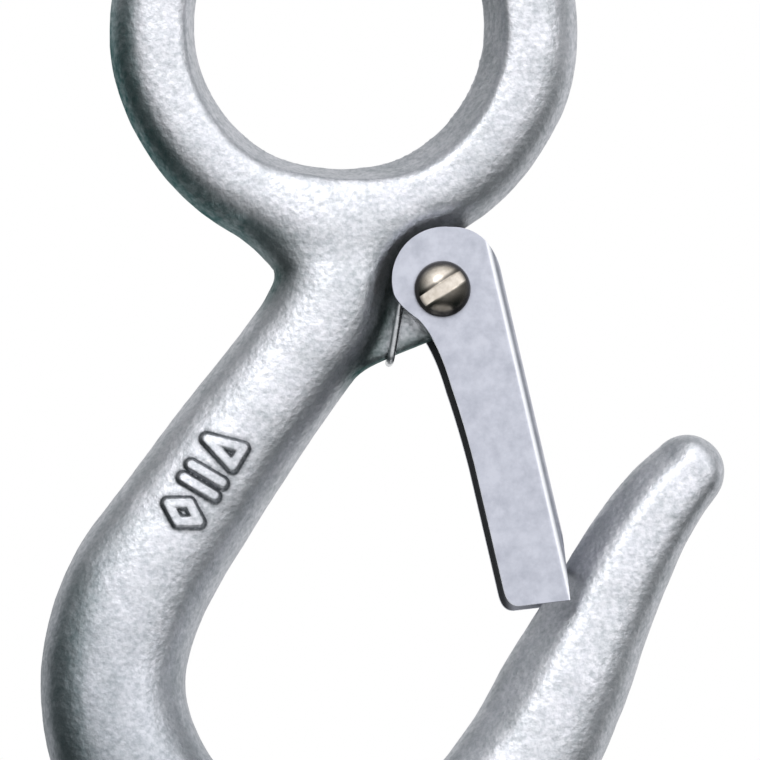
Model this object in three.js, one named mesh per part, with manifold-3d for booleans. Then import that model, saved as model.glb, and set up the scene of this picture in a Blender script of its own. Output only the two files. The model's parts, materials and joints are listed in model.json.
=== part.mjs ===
// Eye hook with latch: a galvanised drop forging whose throat is closed by a sprung sheet-steel latch.
// Millimetres, +Z up, hanging from its eye. The origin is the eye's centre and the eye's hole runs along Y.
// The throat is on the +X side, and the head of the latch's screw faces -Y.

import * as THREE from "three";
import { mergeVertices } from "three/addons/utils/BufferGeometryUtils.js";
import Module from "manifold-3d";

const wasm = await Module();
wasm.setup();

// ---- driving dimensions -------------------------------------------------------------------------------------

const GAP = 0.3; // clearance between pieces that touch
const PAST = 1; // how far a cutting solid runs past what it cuts
const ROUND_SIDES = 32; // facets of a turned piece

// eye
const EYE_OUTER = 29.25;
const EYE_HOLE = 18.0; // radius of the hole
const HOLE_SHIFT = { x: -0.6, z: 0.45 }; // the hole's centre, so the ring is thickest towards the latch
const EYE_DEPTH = 5.55; // half the ring's size along Y

// neck, shank, bowl and point: centre X, centre Z, half width in the hook's plane, half depth along Y
const STATIONS = [
  [-0.5, -19.5, 9.0, 5.3],
  [-0.9, -26.0, 9.6, 6.3],
  [-1.2, -31.5, 7.5, 6.9],
  [-3.0, -36.6, 7.4, 7.0],
  [-6.4, -41.6, 7.35, 7.0],
  [-13.4, -51.2, 7.75, 7.1],
  [-20.2, -61.1, 8.25, 7.4],
  [-25.9, -70.4, 8.85, 7.8],
  [-28.6, -80.0, 8.9, 8.0],
  [-27.4, -89.5, 9.1, 8.2],
  [-22.5, -98.9, 9.6, 8.3],
  [-14.0, -105.4, 9.6, 8.3],
  [-3.1, -108.1, 9.4, 8.2],
  [7.6, -105.8, 9.2, 8.0],
  [17.0, -99.2, 8.8, 7.7],
  [23.2, -90.6, 8.3, 7.3],
  [27.9, -81.5, 7.8, 6.8],
  [31.9, -73.2, 6.7, 6.1],
  [36.1, -64.9, 5.9, 5.5],
  [40.0, -58.8, 5.2, 5.0],
  [43.1, -55.1, 4.7, 4.6],
];
const SECTION_POWER = 2.3; // superellipse of the forging's section, 2 is an ellipse
const SECTION_SIDES = 20;
const RINGS_PER_STATION = 3;
const DOME_RINGS = 5;

// latch lug and pivot
const PIVOT = { x: 12.0, z: -32.8 };
const LUG_HALF = 2.3;
const LUG_RADIUS = 5.0;
const LUG_ROOT = { x: -2, top: -24.5, bottom: -40.5 }; // buried in the neck
const LUG_FOOT = { x: 6.0, z: -39.9 }; // where its lower edge leaves the neck
const SCREW_RADIUS = 2.0;
const BORE_RADIUS = SCREW_RADIUS + GAP;

// latch: a channel of folded sheet, laid out from the pivot with N out of the web and L down the latch's length
const SHEET = 1.2;
const LATCH_HALF = 7.2; // outside, along Y
const LATCH_INSIDE = LATCH_HALF - SHEET;
const LATCH_TILT = THREE.MathUtils.degToRad(13.1);
const WEB_OUTER = 7.75; // from the pivot to the web's outer face
const FOLD_OUTER = 1.5;
const FOLD_INNER = FOLD_OUTER - SHEET;
const EAR_RADIUS = 6.6;
const EAR_CENTRE = [0.6, -1.1];
const WEB_END = 36.9; // where the web stops and bears on the hook's point
const LIP_START = 33.0; // below this the fold is trimmed back to LIP_OUTER at the end
const LIP_OUTER = 6.75;
const LATCH_END = 41.3;

// pivot screw and its self-locking nut
const HEAD_RADIUS = 3.5;
const HEAD_HEIGHT = 2.5;
const HEAD_RIM = 0.5; // height of the head's straight side, below its dome
const SLOT_WIDTH = 1.1;
const SLOT_DEPTH = 1.2;
const SLOT_TILT = THREE.MathUtils.degToRad(33);
const SCREW_END = 13.6; // along +Y
const EDGE = 0.5; // chamfer of the screw's end and the nut's corners
const NUT_FLATS = 7.0;
const NUT_HEX = 3.2; // height of its hexagon
const NUT_HEIGHT = 5.0;
const COLLAR_RADIUS = 3.2;
const INSERT_OUTER = 2.75;
const INSERT_HEIGHT = 1.0;

// double torsion spring
const WIRE = 0.45; // radius
const COIL_MEAN = 3.4; // radius of the wire's centreline
const COIL_FROM = LUG_HALF + GAP + WIRE; // coil's inner and outer ends along Y
const COIL_TO = LATCH_INSIDE - GAP - WIRE;
const COIL_TURNS = 2;
const LEG_ANGLE = THREE.MathUtils.degToRad(22.6); // where the leg on the latch meets the coil
const LEG_LENGTH = 14;
const BRIDGE_ANGLE = THREE.MathUtils.degToRad(144.6); // where the leg to the bridge leaves the coil
const BRIDGE = { x: 5.75, z: -41.5 };
const BRIDGE_BEND = { x: 7.0, z: -34.2 };

// raised forging marks on the shank's front
const MARK_PITCH = 4.7;
const MARK_MIDDLE = { x: -17.8, z: -56.7 };
const MARK_RUN = THREE.MathUtils.degToRad(59);
const MARK_TALL = 5.4;
const MARK_WIDE = 3.6;
const MARK_STROKE = 1.1;
const MARK_FACE = -7.75; // along Y
const MARK_ROOT = -4;

// ---- materials ----------------------------------------------------------------------------------------------

const metal = (color, roughness) => new THREE.MeshStandardMaterial({ color, roughness, metalness: 1 });
const zinc = metal(0xc3c6ca, 0.55);
const plate = metal(0xcfd1d8, 0.4);
const nickel = metal(0xcdc3b5, 0.25);
const plated = metal(0xb9bcc0, 0.35);
const wire = metal(0x8d9092, 0.35);
const nylon = new THREE.MeshStandardMaterial({ color: 0xe9ecef, roughness: 0.5, metalness: 0 });

// ---- solids -------------------------------------------------------------------------------------------------

// a closed geometry as a solid that can be joined and cut
function solid(geometry) {
  const bare = geometry.clone();
  bare.deleteAttribute("normal");
  bare.deleteAttribute("uv");
  const merged = mergeVertices(bare, 1e-4);
  return new wasm.Manifold(
    new wasm.Mesh({
      numProp: 3,
      vertProperties: new Float32Array(merged.attributes.position.array),
      triVerts: new Uint32Array(merged.index.array),
    }),
  );
}

function geometryOf(body) {
  const { vertProperties, triVerts } = body.getMesh();
  const geometry = new THREE.BufferGeometry();
  geometry.setAttribute("position", new THREE.Float32BufferAttribute(vertProperties, 3));
  geometry.setIndex(Array.from(triVerts));
  geometry.computeVertexNormals();
  return geometry;
}

// an outline in the XZ plane, extruded from y0 to y1
function plateXZ(shape, y0, y1) {
  const geometry = new THREE.ExtrudeGeometry(shape, { depth: y1 - y0, bevelEnabled: false, curveSegments: 14 });
  return geometry.rotateX(Math.PI / 2).translate(0, y1, 0);
}

// a plain round bar along Y
function roundBar(radius, y0, y1) {
  return new THREE.CylinderGeometry(radius, radius, y1 - y0, ROUND_SIDES).translate(0, (y0 + y1) / 2, 0);
}

// a profile of [radius, y] points turned about the Y axis
function turned(profile) {
  return new THREE.LatheGeometry(profile.map(([radius, y]) => new THREE.Vector2(radius, y)), ROUND_SIDES);
}

function named(name, geometry, material) {
  const mesh = new THREE.Mesh(geometry, material);
  mesh.name = name;
  return mesh;
}

// ---- forging ------------------------------------------------------------------------------------------------

// rings of the section along the centreline, closed by a flat start and a pole at the point's end
function forgedBar() {
  const path = new THREE.CatmullRomCurve3(STATIONS.map(([x, z]) => new THREE.Vector3(x, 0, z)));
  const sizes = new THREE.CatmullRomCurve3(STATIONS.map(([, , w, d]) => new THREE.Vector3(w, d, 0)));
  const steps = (STATIONS.length - 1) * RINGS_PER_STATION;
  const points = [];
  const addRing = (centre, across, halfWidth, halfDepth) => {
    for (let i = 0; i < SECTION_SIDES; i++) {
      const angle = (i / SECTION_SIDES) * 2 * Math.PI;
      const power = 2 / SECTION_POWER;
      const w = halfWidth * Math.sign(Math.cos(angle)) * Math.abs(Math.cos(angle)) ** power;
      const d = halfDepth * Math.sign(Math.sin(angle)) * Math.abs(Math.sin(angle)) ** power;
      points.push(centre.x + across.x * w, d, centre.z + across.z * w);
    }
  };
  const acrossOf = (tangent) => new THREE.Vector3(-tangent.z, 0, tangent.x);
  for (let i = 0; i <= steps; i++) {
    const tangent = path.getTangent(i / steps);
    const size = sizes.getPoint(i / steps);
    addRing(path.getPoint(i / steps), acrossOf(tangent), size.x, size.y);
  }
  const end = path.getPoint(1);
  const tangent = path.getTangent(1);
  const [, , endWidth, endDepth] = STATIONS.at(-1);
  for (let i = 1; i < DOME_RINGS; i++) {
    const lift = (i / DOME_RINGS) * (Math.PI / 2);
    const centre = end.clone().addScaledVector(tangent, endWidth * Math.sin(lift));
    addRing(centre, acrossOf(tangent), endWidth * Math.cos(lift), endDepth * Math.cos(lift));
  }
  const rings = points.length / 3 / SECTION_SIDES;
  const start = path.getPoint(0);
  const pole = end.clone().addScaledVector(tangent, endWidth);
  points.push(start.x, start.y, start.z, pole.x, pole.y, pole.z);
  const startIndex = rings * SECTION_SIDES;
  const poleIndex = startIndex + 1;
  const faces = [];
  for (let side = 0; side < SECTION_SIDES; side++) {
    const next = (side + 1) % SECTION_SIDES;
    for (let ring = 0; ring < rings - 1; ring++) {
      const a = ring * SECTION_SIDES + side;
      const b = ring * SECTION_SIDES + next;
      faces.push(a, b + SECTION_SIDES, b, a, a + SECTION_SIDES, b + SECTION_SIDES);
    }
    const last = (rings - 1) * SECTION_SIDES;
    faces.push(startIndex, side, next);
    faces.push(poleIndex, last + next, last + side);
  }
  const geometry = new THREE.BufferGeometry();
  geometry.setAttribute("position", new THREE.Float32BufferAttribute(points, 3));
  geometry.setIndex(faces);
  return geometry;
}

// a ring of oval section between the round outside and the hole, which is a little off centre
function eyeRing() {
  const mean = (EYE_OUTER + EYE_HOLE) / 2;
  const ring = new THREE.TorusGeometry(mean, EYE_DEPTH, 20, 48).rotateX(Math.PI / 2);
  const points = ring.attributes.position;
  for (let i = 0; i < points.count; i++) {
    const radius = Math.hypot(points.getX(i), points.getZ(i));
    const [x, z] = [points.getX(i) / radius, points.getZ(i) / radius];
    const hole = EYE_HOLE + HOLE_SHIFT.x * x + HOLE_SHIFT.z * z;
    const share = (radius - mean) / EYE_DEPTH; // -1 at the hole, 1 on the outside
    const moved = (EYE_OUTER + hole) / 2 + (share * (EYE_OUTER - hole)) / 2;
    points.setXYZ(i, x * moved, points.getY(i), z * moved);
  }
  return ring;
}

// the flat lug that carries the latch, rounded about the pivot
function lugPlate() {
  const shape = new THREE.Shape();
  shape.moveTo(LUG_ROOT.x, LUG_ROOT.bottom);
  shape.lineTo(LUG_FOOT.x, LUG_FOOT.z);
  shape.absarc(PIVOT.x, PIVOT.z, LUG_RADIUS, THREE.MathUtils.degToRad(-110), THREE.MathUtils.degToRad(95), false);
  shape.lineTo(LUG_ROOT.x, LUG_ROOT.top);
  return plateXZ(shape, -LUG_HALF, LUG_HALF);
}

// a straight stroke of a raised mark between two points in the mark's own plane
function stroke([x0, z0], [x1, z1]) {
  const length = Math.hypot(x1 - x0, z1 - z0) + MARK_STROKE;
  const box = new THREE.BoxGeometry(length, MARK_ROOT - MARK_FACE, MARK_STROKE);
  box.rotateY(-Math.atan2(z1 - z0, x1 - x0));
  return box.translate((x0 + x1) / 2, (MARK_FACE + MARK_ROOT) / 2, (z0 + z1) / 2);
}

// three raised marks along the shank: a lozenge, two bars and a triangle
function forgingMarks() {
  const tall = (MARK_TALL - MARK_STROKE) / 2;
  const wide = (MARK_WIDE - MARK_STROKE) / 2;
  const lozenge = [[-wide, 0], [0, tall], [wide, 0], [0, -tall], [-wide, 0]];
  const leftBar = [[-wide * 0.7, -tall], [-wide * 0.7, tall]];
  const rightBar = [[wide * 0.7, -tall], [wide * 0.7, tall]];
  const triangle = [[-wide, -tall], [wide, -tall], [0, tall], [-wide, -tall]];
  const marks = [[lozenge], [leftBar, rightBar], [triangle]];
  const strokes = marks.flatMap((lines, index) =>
    lines.flatMap((line) =>
      line.slice(1).map((end, i) => stroke(line[i], end).translate((index - 1) * MARK_PITCH, 0, 0)),
    ),
  );
  return strokes
    .map((box) => solid(box.rotateY(-MARK_RUN).translate(MARK_MIDDLE.x, 0, MARK_MIDDLE.z)))
    .reduce((all, one) => all.add(one));
}

function hookBody() {
  const bore = roundBar(BORE_RADIUS, -LUG_HALF - PAST, LUG_HALF + PAST).translate(PIVOT.x, 0, PIVOT.z);
  const body = solid(forgedBar())
    .add(solid(eyeRing()))
    .add(solid(lugPlate()))
    .add(forgingMarks())
    .subtract(solid(bore));
  return named("hook_body", geometryOf(body), zinc);
}

// ---- latch --------------------------------------------------------------------------------------------------

// the flanges' side outline: N is the shape's X, L its Y
function flangeOutline() {
  const [n, l] = EAR_CENTRE;
  const shape = new THREE.Shape();
  shape.moveTo(-1.0, 22.0);
  shape.lineTo(-1.0, 38.2);
  shape.quadraticCurveTo(-1.0, 40.4, 0.5, 40.6);
  shape.lineTo(LIP_OUTER, LATCH_END);
  shape.lineTo(WEB_OUTER, LIP_START);
  shape.lineTo(WEB_OUTER, -1.0);
  shape.quadraticCurveTo(7.2, -6.5, 2.6, -7.4);
  shape.absarc(n, l, EAR_RADIUS, THREE.MathUtils.degToRad(-72), THREE.MathUtils.degToRad(-184), true);
  shape.quadraticCurveTo(-5.6, 1.0, -3.7, 3.0);
  shape.quadraticCurveTo(-1.9, 6.0, -1.6, 12.0);
  shape.quadraticCurveTo(-1.1, 17.0, -1.0, 22.0);
  return shape;
}

// the folded channel's section: N is the shape's X and the object's Y its Y
function channelSection() {
  const inner = WEB_OUTER - SHEET;
  const open = EAR_CENTRE[0] - EAR_RADIUS - PAST; // past the flanges' free edges
  const shape = new THREE.Shape();
  shape.moveTo(open, -LATCH_HALF);
  shape.absarc(WEB_OUTER - FOLD_OUTER, -LATCH_HALF + FOLD_OUTER, FOLD_OUTER, -Math.PI / 2, 0, false);
  shape.absarc(WEB_OUTER - FOLD_OUTER, LATCH_HALF - FOLD_OUTER, FOLD_OUTER, 0, Math.PI / 2, false);
  shape.lineTo(open, LATCH_HALF);
  shape.lineTo(open, LATCH_INSIDE);
  shape.absarc(inner - FOLD_INNER, LATCH_INSIDE - FOLD_INNER, FOLD_INNER, Math.PI / 2, 0, true);
  shape.absarc(inner - FOLD_INNER, -LATCH_INSIDE + FOLD_INNER, FOLD_INNER, 0, -Math.PI / 2, true);
  shape.lineTo(open, -LATCH_INSIDE);
  return shape;
}

function latch() {
  // both solids are laid out with N along X, the object's Y along Y and L along -Z, then tilted about the pivot
  const outside = LATCH_HALF + PAST;
  const sides = plateXZ(flangeOutline(), -outside, outside).rotateX(Math.PI);
  const depth = LATCH_END + 2 * EAR_RADIUS + 2 * PAST;
  const channel = new THREE.ExtrudeGeometry(channelSection(), { depth, bevelEnabled: false, curveSegments: 5 });
  channel.translate(0, 0, -LATCH_END - PAST);
  const cutLength = LATCH_END + PAST - WEB_END;
  const webCut = new THREE.BoxGeometry(FOLD_OUTER * 2, 2 * (LATCH_HALF - FOLD_OUTER), cutLength);
  webCut.translate(WEB_OUTER, 0, -WEB_END - cutLength / 2);
  const body = solid(channel)
    .intersect(solid(sides))
    .subtract(solid(webCut))
    .subtract(solid(roundBar(BORE_RADIUS, -outside, outside)));
  const mesh = named("latch", geometryOf(body), plate);
  mesh.rotation.y = -LATCH_TILT;
  return mesh;
}

// ---- screw, nut and insert ----------------------------------------------------------------------------------

function pivotScrew() {
  const under = -LATCH_HALF - GAP;
  const rim = under - HEAD_RIM;
  const crown = under - HEAD_HEIGHT;
  const profile = [[0, crown]];
  for (let i = 1; i <= 6; i++) {
    const t = (i / 6) * (Math.PI / 2);
    profile.push([HEAD_RADIUS * Math.sin(t), rim + (crown - rim) * Math.cos(t)]);
  }
  profile.push([HEAD_RADIUS, under], [SCREW_RADIUS, under]);
  profile.push([SCREW_RADIUS, SCREW_END - EDGE], [SCREW_RADIUS - EDGE, SCREW_END], [0, SCREW_END]);
  const slot = new THREE.BoxGeometry(HEAD_RADIUS * 3, SLOT_DEPTH * 2, SLOT_WIDTH);
  slot.rotateY(-SLOT_TILT).translate(0, crown, 0);
  return named("pivot_screw", geometryOf(solid(turned(profile)).subtract(solid(slot))), nickel);
}

function lockNut() {
  const seat = LATCH_HALF + GAP;
  const corner = NUT_FLATS / Math.sqrt(3);
  const hexagon = new THREE.CylinderGeometry(corner, corner, NUT_HEX, 6).translate(0, seat + NUT_HEX / 2, 0);
  const chamfer = turned([
    [0, seat],
    [corner - EDGE, seat],
    [corner, seat + EDGE / 2],
    [corner, seat + NUT_HEX - EDGE / 2],
    [corner - EDGE, seat + NUT_HEX],
    [0, seat + NUT_HEX],
  ]);
  const top = seat + NUT_HEIGHT;
  const collar = turned([
    [0, seat + EDGE],
    [COLLAR_RADIUS, seat + EDGE],
    [COLLAR_RADIUS, top - EDGE],
    [COLLAR_RADIUS - EDGE, top],
    [0, top],
  ]);
  const recess = roundBar(INSERT_OUTER + GAP / 2, seat + NUT_HEX, seat + NUT_HEX + INSERT_HEIGHT + GAP);
  const body = solid(hexagon)
    .intersect(solid(chamfer))
    .add(solid(collar))
    .subtract(solid(roundBar(BORE_RADIUS, seat - PAST, top + PAST)))
    .subtract(solid(recess));
  return named("lock_nut", geometryOf(body), plated);
}

function lockNutInsert() {
  const from = LATCH_HALF + GAP + NUT_HEX + GAP / 2;
  const to = from + INSERT_HEIGHT;
  const inner = SCREW_RADIUS + GAP / 2;
  const ring = turned([[inner, from], [INSERT_OUTER, from], [INSERT_OUTER, to], [inner, to], [inner, from]]);
  return named("lock_nut_insert", ring, nylon);
}

// ---- spring -------------------------------------------------------------------------------------------------

// a point on one coil, in the frame of the pivot
function coilPoint(angle, y) {
  return new THREE.Vector3(COIL_MEAN * Math.cos(angle), y, COIL_MEAN * Math.sin(angle));
}

// the spring's rear half, from its leg on the latch to the middle of the bridge
function halfSpring() {
  const points = [];
  const legEnd = coilPoint(LEG_ANGLE, COIL_TO);
  legEnd.x += LEG_LENGTH * Math.sin(LEG_ANGLE);
  legEnd.z -= LEG_LENGTH * Math.cos(LEG_ANGLE);
  const legStart = coilPoint(LEG_ANGLE, COIL_TO);
  for (let i = 0; i < 5; i++) points.push(legEnd.clone().lerp(legStart, i / 5));
  const sweep = BRIDGE_ANGLE - LEG_ANGLE + COIL_TURNS * 2 * Math.PI;
  const steps = COIL_TURNS * 16 + 6;
  for (let i = 0; i <= steps; i++) {
    points.push(coilPoint(LEG_ANGLE + (sweep * i) / steps, COIL_TO + ((COIL_FROM - COIL_TO) * i) / steps));
  }
  const bend = new THREE.Vector3(BRIDGE_BEND.x - PIVOT.x, COIL_FROM, BRIDGE_BEND.z - PIVOT.z);
  const bridge = new THREE.Vector3(BRIDGE.x - PIVOT.x, COIL_FROM, BRIDGE.z - PIVOT.z);
  points.push(bend.clone().lerp(bridge, 0.04));
  points.push(bend.clone().lerp(bridge, 0.5));
  points.push(bend.clone().lerp(bridge, 0.88));
  points.push(bridge.clone().setY(COIL_FROM - 0.7));
  points.push(bridge.clone().setY(COIL_FROM * 0.4));
  return points;
}

function latchSpring() {
  const half = halfSpring();
  const other = half.map((point) => new THREE.Vector3(point.x, -point.y, point.z)).reverse();
  const path = new THREE.CatmullRomCurve3([...half, ...other], false, "centripetal");
  path.arcLengthDivisions = 800;
  const section = new THREE.Shape().absarc(0, 0, WIRE, 0, 2 * Math.PI, false);
  const options = { steps: 150, curveSegments: 4, extrudePath: path, bevelEnabled: false };
  return named("latch_spring", new THREE.ExtrudeGeometry(section, options), wire);
}

// ---- assembly -----------------------------------------------------------------------------------------------

const hook = new THREE.Group();
const pivot = new THREE.Group();
pivot.position.set(PIVOT.x, 0, PIVOT.z);
pivot.add(latch(), pivotScrew(), lockNut(), lockNutInsert(), latchSpring());
hook.add(hookBody(), pivot);

export default hook;
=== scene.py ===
"""The looks of the eye hook with latch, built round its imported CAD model.

Everything is in metres, in the model's own frame: +Z up through the eye, +X towards the throat, and +Y
away from the side that the screw's head is on."""

import json
import math

import bmesh
import bpy
import numpy as np
from mathutils import Matrix, Vector, noise


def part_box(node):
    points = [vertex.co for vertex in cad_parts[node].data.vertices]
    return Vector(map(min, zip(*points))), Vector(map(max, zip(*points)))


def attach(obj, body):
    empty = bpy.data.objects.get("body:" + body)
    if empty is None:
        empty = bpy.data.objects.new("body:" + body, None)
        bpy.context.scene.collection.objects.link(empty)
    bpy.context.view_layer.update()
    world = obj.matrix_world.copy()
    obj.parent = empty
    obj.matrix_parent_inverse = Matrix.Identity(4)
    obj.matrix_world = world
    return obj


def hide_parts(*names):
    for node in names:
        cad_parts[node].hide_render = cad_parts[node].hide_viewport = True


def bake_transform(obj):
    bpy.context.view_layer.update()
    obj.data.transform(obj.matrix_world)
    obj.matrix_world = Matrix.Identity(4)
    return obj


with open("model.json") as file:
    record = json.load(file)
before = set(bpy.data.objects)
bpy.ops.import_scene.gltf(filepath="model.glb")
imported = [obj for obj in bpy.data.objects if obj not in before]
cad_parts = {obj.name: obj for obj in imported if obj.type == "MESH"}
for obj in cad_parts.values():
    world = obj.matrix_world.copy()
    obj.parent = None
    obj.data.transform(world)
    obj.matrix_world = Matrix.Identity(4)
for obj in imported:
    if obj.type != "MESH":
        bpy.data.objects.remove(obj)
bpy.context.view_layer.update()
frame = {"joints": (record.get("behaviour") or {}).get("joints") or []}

MM = 0.001

# ---- sizes from the frame ------------------------------------------------------------------------

HOOK_LOW, HOOK_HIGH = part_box("hook_body")
_, LATCH_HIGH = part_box("latch")
SCREW_LOW, SCREW_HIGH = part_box("pivot_screw")
NUT_LOW, NUT_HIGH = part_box("lock_nut")
INSERT_LOW, INSERT_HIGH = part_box("lock_nut_insert")
_, SPRING_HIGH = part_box("latch_spring")
PIVOT = Vector(frame["joints"][0]["pos_m"])

# ---- the forging's own sizes ---------------------------------------------------------------------

# neck, shank, bowl and point: centre x, centre z, half width in the hook's plane, half depth
CENTRELINE = MM * np.array([
    (-0.5, -19.5, 9.0, 4.9),
    (-0.9, -26.0, 9.1, 6.0),
    (-1.2, -31.5, 7.45, 6.8),
    (-3.0, -36.6, 7.4, 7.0),
    (-6.4, -41.6, 7.35, 7.0),
    (-13.4, -51.2, 7.75, 7.1),
    (-20.2, -61.1, 8.25, 7.4),
    (-26.0, -70.4, 8.9, 7.8),
    (-28.7, -80.0, 8.95, 8.0),
    (-27.5, -89.5, 9.15, 8.2),
    (-22.5, -98.9, 9.6, 8.3),
    (-14.0, -105.4, 9.6, 8.3),
    (-3.1, -108.1, 9.4, 8.2),
    (7.6, -105.8, 9.2, 8.0),
    (17.0, -99.2, 8.8, 7.7),
    (23.2, -90.6, 8.3, 7.3),
    (27.8, -81.5, 7.8, 6.8),
    (31.75, -73.2, 6.7, 6.1),
    (35.9, -64.9, 5.9, 5.5),
    (39.8, -58.8, 5.2, 5.0),
    (42.95, -55.2, 4.65, 4.6),
])
SAMPLES_PER_SPAN = 12
BAR_POWER = 2.2  # superellipse of the section, 2 is an ellipse
POINT_POWER = 2.9  # the section is boxier at the point
POINT_SPANS = (17, 19.5)  # it changes over these spans of the centreline

# near the point the throat's side has a flat, each way from the parting line
FACET_SPANS = (13, 16)  # it deepens over these spans
FACET_REACH = (1.1, 0.93)  # of the way out to the uncut section, before and after them
FACET_TILT = math.radians(42)
FACET_EDGE = 0.9 * MM

EYE_OUTER = HOOK_HIGH.z
EYE_DEPTH = 5.55 * MM
EYE_HOLE = 18.0 * MM
EYE_FLAT_POWER = 3.2  # superellipse of the section's inner half
EYE_DRAWN_IN = 0.35 * MM  # the eye's outside, towards the neck
EYE_DRAWN_FACING = (0.2, 0.6)  # it comes in over this much of facing down
HOLE_SHIFT = np.array((-0.6, 0.65)) * MM
LAND_HALF = 4.0 * MM  # the hole is drafted from its middle out to here, each way along Y
LAND_DRAFT = 0.36
LAND_EDGE = 0.8 * MM

LUG_HALF = 2.3 * MM
LUG_ROUND = 5.0 * MM
LUG_ROOT = np.array((0.5, -34.0)) * MM
LUG_ROOT_ROUND = 8.4 * MM
LUG_EDGE = 0.6 * MM
LUG_BORE = 2.3 * MM
LUG_FILLET = 1.4 * MM
NECK_FILLET = 4.0 * MM

FLASH = 0.14 * MM  # the trimmed parting line stands this proud of the section
FLASH_WIDTH = 0.8 * MM
UNEVEN = ((6.0 * MM, 0.08 * MM), (2.2 * MM, 0.032 * MM), (1.1 * MM, 0.014 * MM))  # wavelength, height
VOXEL = 0.52 * MM

# painted shade in the corner where the lug grows out of the shank, and in from the lug's outline
SHADE_CORNER = 2.5 * MM
SHADE_EDGE = 3.2 * MM

# painted shade, darkest outside the eye at lower left, away from the light, fading in over these pairs
# of values
EYE_SHADE_WAY = (-0.85, -0.53)
EYE_SHADE_FACING = (0.62, 0.92)
EYE_SHADE_INNER = (25.6 * MM, 27.4 * MM)
EYE_SHADE_OUTER = (36 * MM, 31 * MM)

# and along the bowl's back, also painted shade, in shares of the half width out from the centreline
BOWL_SHADE = 0.6
BOWL_SHADE_INNER = (0.3, 0.6)
BOWL_SHADE_OUTER = (0.95, 0.78)
BOWL_SHADE_BELOW = (-58 * MM, -78 * MM)
BOWL_SHADE_LEFT = (0, -15 * MM)

# raised forging marks
MARK_MIDDLE = np.array((-17.8, -56.7)) * MM
MARK_RUN = math.radians(59)
MARK_PITCH = 4.7 * MM
MARK_TALL = 5.4 * MM
MARK_WIDE = 3.6 * MM
MARK_STROKE = 0.9 * MM
MARK_RISE = 0.6 * MM
MARK_EDGE = 0.6 * MM
MARK_BARS = 0.7  # how far apart the two bars stand, as a share of a mark's width
MARK_CUTS = 3  # the faces under the marks are split this often
CREASE = 0.42 * MM  # from a stroke's side to the middle of the painted shade in the crease round it
CREASE_HALF = 0.66 * MM

# ---- the latch's own sizes -----------------------------------------------------------------------

SHEET = 1.2 * MM
LATCH_HALF = LATCH_HIGH.y
LATCH_TILT = math.radians(13.1)
WEB_OUTER = 7.75 * MM
FOLD_OUTER = 1.5 * MM
EAR_RADIUS = 6.6 * MM
EAR_CENTRE = (0.6 * MM, 1.1 * MM)
WEB_END = 36.9 * MM
LIP_START = 33.0 * MM
LIP_OUTER = 6.75 * MM
LATCH_END = 41.3 * MM
FLANGE_EDGE = -1.0 * MM
EAR_HOLE = 2.3 * MM
SHEARED_EDGE = 0.22 * MM

# ---- small parts ---------------------------------------------------------------------------------

SCREW_RADIUS = 2.0 * MM
SCREW_END_CHAMFER = 0.3 * MM
THREAD_PITCH = 0.7 * MM
THREAD_DEPTH = 0.35 * MM
THREAD_ROWS = 10  # for each turn of the thread
THREAD_SHORT = 0.5 * MM  # it stops this far before the screw's end
HEAD_GAP = 0.3 * MM  # from the front ear to the head
HEAD_SEAT = -LATCH_HALF - HEAD_GAP
HEAD_RIM = 0.3 * MM
HEAD_EDGE = 0.1 * MM
SLOT_TILT = math.radians(33)
SLOT_WIDTH = 1.4 * MM
SLOT_DEPTH = 1.5 * MM
SLOT_HALF_LENGTH = 5 * MM
NUT_HEX = 3.2 * MM
NUT_CHAMFER = 0.3 * MM
NUT_CONE = 0.97  # the chamfer starts at this share of the flats
NUT_GAP = 0.15 * MM  # round the screw's thread
NUT_BORE = SCREW_RADIUS + NUT_GAP
COLLAR_RADIUS = 3.2 * MM
COLLAR_FOOT = 0.15 * MM
COLLAR_ROUND = 1.05  # of how far the nut's corners stand out over its flats
INSERT_GAP = 0.1 * MM
INSERT_EDGE = 0.15 * MM
WIRE = 0.45 * MM
WIRE_CHAMFER = 0.2  # of the wire's radius, at the end of a leg
COIL_MEAN = 3.4 * MM
COIL_GAP = 0.3 * MM  # from the lug to the coil
COIL_FROM = LUG_HALF + COIL_GAP + WIRE
COIL_TO = SPRING_HIGH.y - WIRE
COIL_TURNS = 2
COIL_STEPS = 40  # for each turn
LEG_ANGLE = math.radians(22.6)
LEG_LENGTH = 14 * MM
BRIDGE_ANGLE = math.radians(144.6)
BRIDGE_BEND = Vector((7.0 * MM, 0, -34.2 * MM))
BRIDGE = Vector((5.75 * MM, 0, -41.5 * MM))
BRIDGE_ROUND = 1.0 * MM

# ---- meshes --------------------------------------------------------------------------------------


def new_object(name, vertices, faces):
    mesh = bpy.data.meshes.new(name)
    mesh.from_pydata([tuple(v) for v in vertices], [], [tuple(f) for f in faces])
    mesh.validate()
    obj = bpy.data.objects.new(name, mesh)
    bpy.context.scene.collection.objects.link(obj)
    return obj


def from_bmesh(name, bm):
    mesh = bpy.data.meshes.new(name)
    bmesh.ops.recalc_face_normals(bm, faces=bm.faces)
    bm.to_mesh(mesh)
    bm.free()
    obj = bpy.data.objects.new(name, mesh)
    bpy.context.scene.collection.objects.link(obj)
    return obj


def apply_modifiers(obj):
    """Bakes obj's modifiers into its mesh."""
    evaluated = obj.evaluated_get(bpy.context.evaluated_depsgraph_get())
    mesh = bpy.data.meshes.new_from_object(evaluated)
    obj.modifiers.clear()
    obj.data = mesh


def combine(obj, other, operation):
    """Joins other to obj, cuts it away or keeps what both share, and deletes other."""
    modifier = obj.modifiers.new("combine", "BOOLEAN")
    modifier.operation = operation
    modifier.solver = "EXACT"
    modifier.object = other
    apply_modifiers(obj)
    bpy.data.objects.remove(other)


def round_edges(obj, width):
    modifier = obj.modifiers.new("edges", "BEVEL")
    modifier.width = width
    modifier.segments = 3
    modifier.limit_method = "ANGLE"
    modifier.angle_limit = math.radians(35)
    apply_modifiers(obj)


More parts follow.
